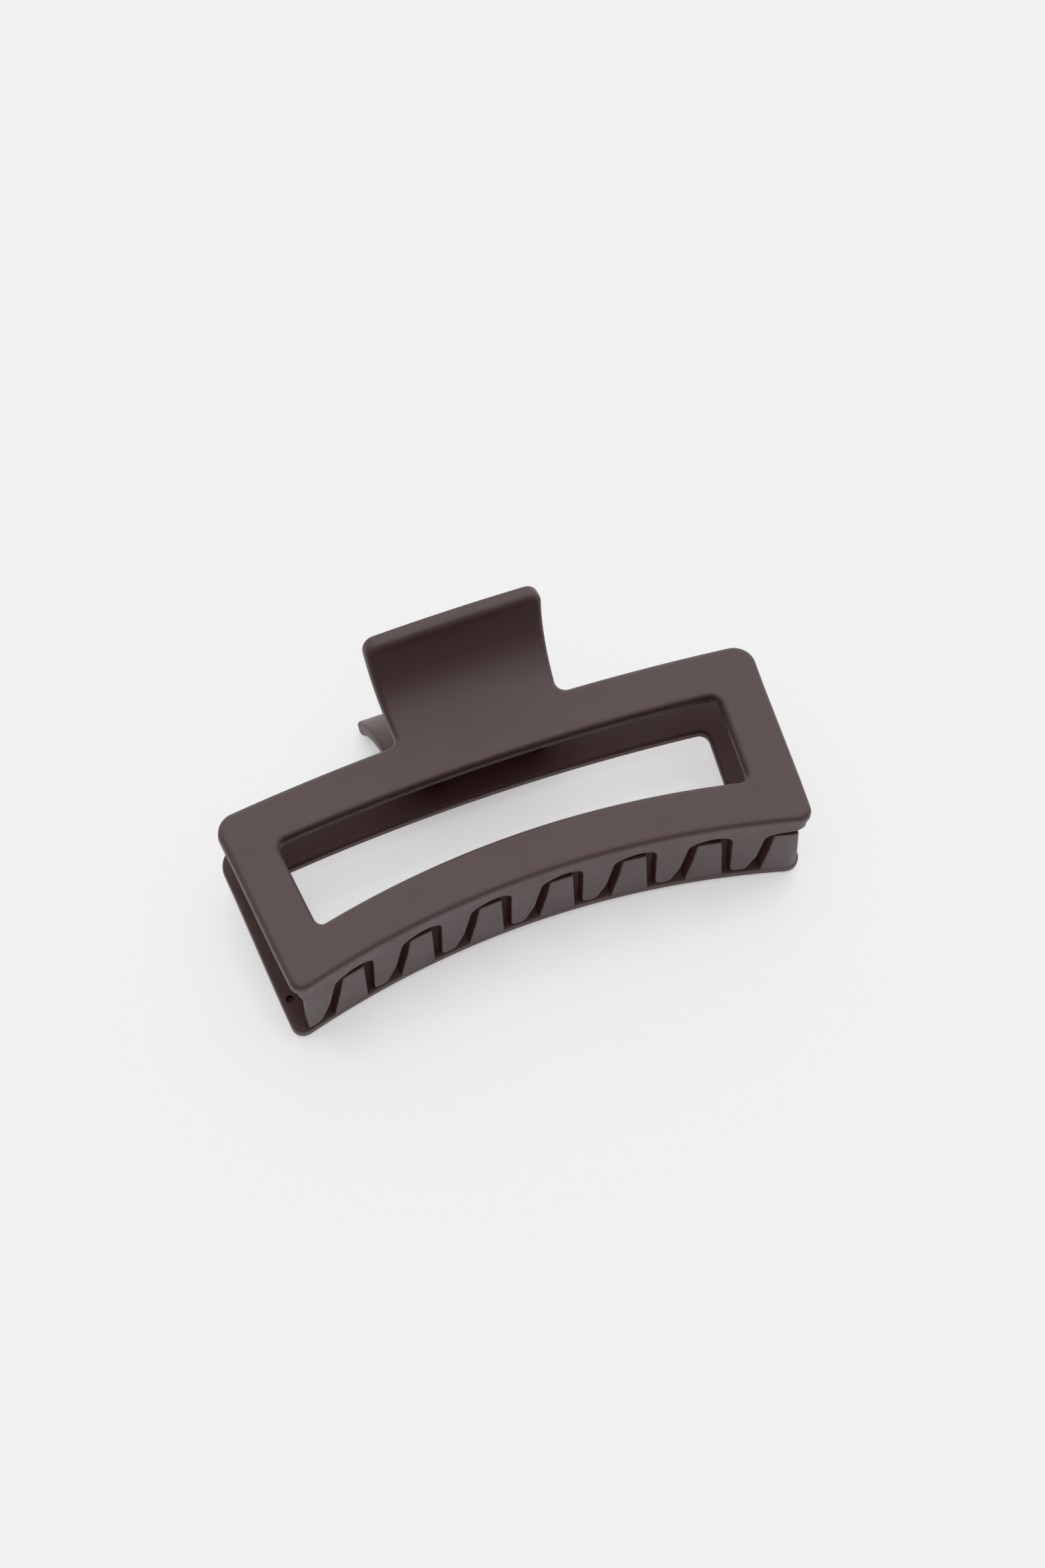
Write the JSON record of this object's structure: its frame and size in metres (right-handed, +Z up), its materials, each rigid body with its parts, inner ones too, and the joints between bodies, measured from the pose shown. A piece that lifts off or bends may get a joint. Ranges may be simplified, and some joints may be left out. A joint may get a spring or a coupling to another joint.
{
  "type": "claw clip",
  "caption": "Rectangular open-frame hair claw clip: two toothed jaws with outward-curved finger tabs, hinged on one pin and held shut by a torsion spring.",
  "frame": {"origin": "on the surface the closed clip lies on, under the middle of its bounding box", "axes": "+X along the hinge pin, -Y towards the teeth and +Y towards the finger tabs, +Z up with the lower jaw's front corners and tab end on the surface"},
  "size_m": [0.11, 0.0648, 0.0409],
  "materials": {
    "soft_touch_plastic": "dark taupe brown, soft-touch matt",
    "plated_steel": "bright plated",
    "spring_wire": "drawn steel wire"
  },
  "bodies": {
    "lower_jaw": {"lower_jaw": "soft_touch_plastic", "hinge_pin": "plated_steel", "torsion_spring": "spring_wire"},
    "upper_jaw": {"upper_jaw": "soft_touch_plastic"}
  },
  "joints": [
    {"name": "jaw_hinge", "type": "hinge", "parent": "lower_jaw", "child": "upper_jaw", "pos_m": [0, 0.0115, 0.01835], "axis": [-1, 0, 0], "range_deg": [0, 65], "stiffness_Nm_per_rad": 0.16, "springref_deg": -74.48, "deforming": ["torsion_spring"]}
  ]
}
